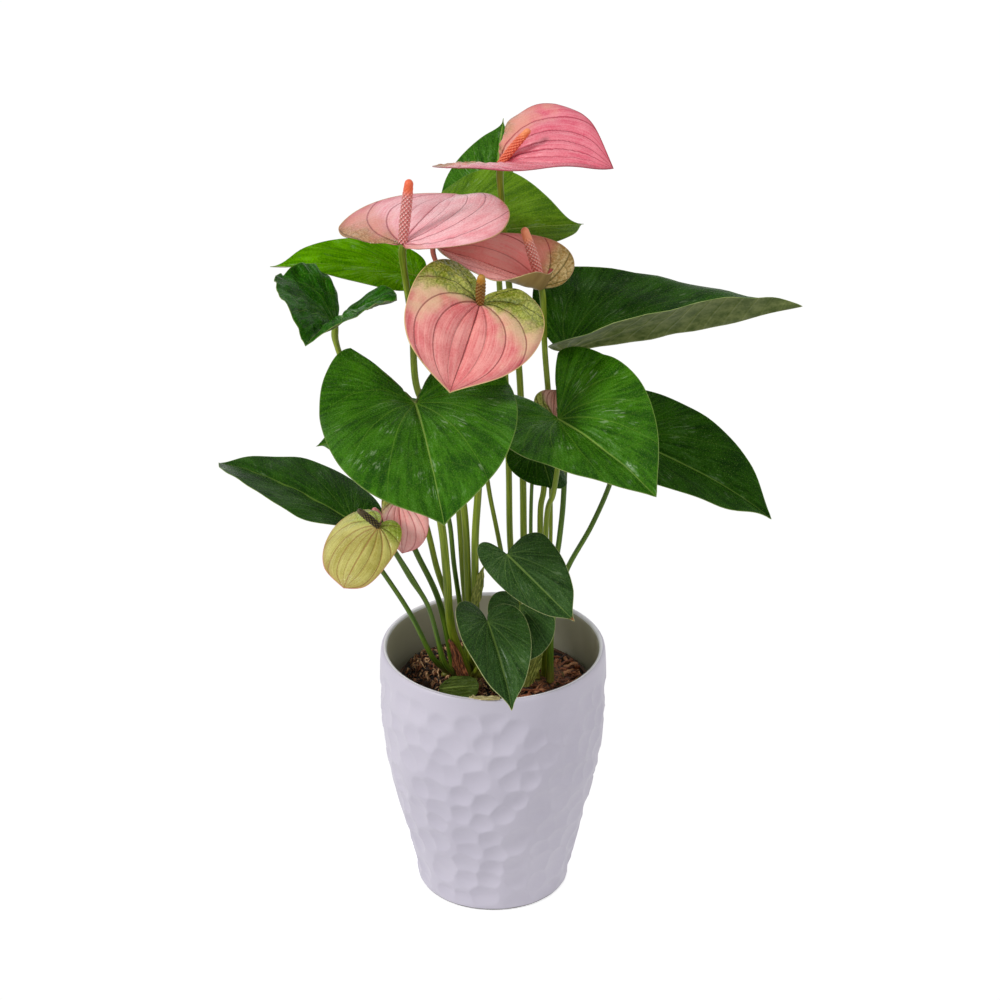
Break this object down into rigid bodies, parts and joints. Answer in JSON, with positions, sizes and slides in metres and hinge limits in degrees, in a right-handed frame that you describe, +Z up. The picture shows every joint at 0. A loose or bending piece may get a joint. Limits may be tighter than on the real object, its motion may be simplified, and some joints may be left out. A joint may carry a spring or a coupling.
{
  "type": "potted anthurium",
  "caption": "A potted anthurium with glossy heart-shaped leaves and pink and lime-green spathes on slender stalks, in a round hammered ceramic cachepot.",
  "frame": {"origin": "On the pot's axis, at the underside of its foot, on the surface the pot stands on.", "axes": "+Z up along the pot's axis; -Y towards the viewer the plant faces, where the youngest leaf hangs over the rim; +X to that viewer's right."},
  "size_m": [0.3311, 0.3053, 0.4653],
  "materials": {
    "glazed_ceramic": "satin",
    "brown_plastic": "satin",
    "soil": "matte",
    "crown": "matte",
    "leaf": "gloss",
    "stalk": "satin",
    "spathe_pink": "gloss",
    "spathe_green": "gloss",
    "spadix": "satin",
    "spadix_dark": "satin",
    "sheath": "matte"
  },
  "bodies": {
    "root": {"pot": "glazed_ceramic", "nursery_pot": "brown_plastic", "soil": "soil", "crown_main": "crown", "crown_side": "crown", "leaf_front_left": "leaf", "leaf_front_right": "leaf", "leaf_right": "leaf", "leaf_far_right": "leaf", "leaf_top": "leaf", "leaf_top_right": "leaf", "leaf_back_left": "leaf", "leaf_curled_left": "leaf", "leaf_low_left": "leaf", "leaf_young_right": "leaf", "leaf_young_front": "leaf", "leaf_young_middle": "leaf", "leaf_behind_left": "leaf", "leaf_inner_right": "leaf", "petiole_front_left": "stalk", "petiole_front_right": "stalk", "petiole_right": "stalk", "petiole_far_right": "stalk", "petiole_top": "stalk", "petiole_top_right": "stalk", "petiole_back_left": "stalk", "petiole_curled_left": "stalk", "petiole_low_left": "stalk", "petiole_young_right": "stalk", "petiole_young_front": "stalk", "petiole_young_middle": "stalk", "petiole_behind_left": "stalk", "petiole_inner_right": "stalk", "spathe_top": "spathe_pink", "spathe_left": "spathe_pink", "spathe_right": "spathe_pink", "spathe_front": "spathe_pink", "spathe_low_green": "spathe_green", "spathe_low_pink": "spathe_pink", "spathe_opening": "spathe_pink", "peduncle_top": "stalk", "peduncle_left": "stalk", "peduncle_right": "stalk", "peduncle_front": "stalk", "peduncle_low_green": "stalk", "peduncle_low_pink": "stalk", "peduncle_opening": "stalk", "spadix_top": "spadix", "spadix_left": "spadix", "spadix_right": "spadix", "spadix_front": "spadix", "spadix_low_green": "spadix_dark", "spadix_low_pink": "spadix", "bud": "spathe_pink", "bud_stalk": "stalk", "sheath_main": "sheath", "sheath_side": "sheath", "sheath_stalk": "sheath", "leaf_scrap_left": "leaf", "leaf_scrap_front": "leaf"}
  },
  "joints": []
}
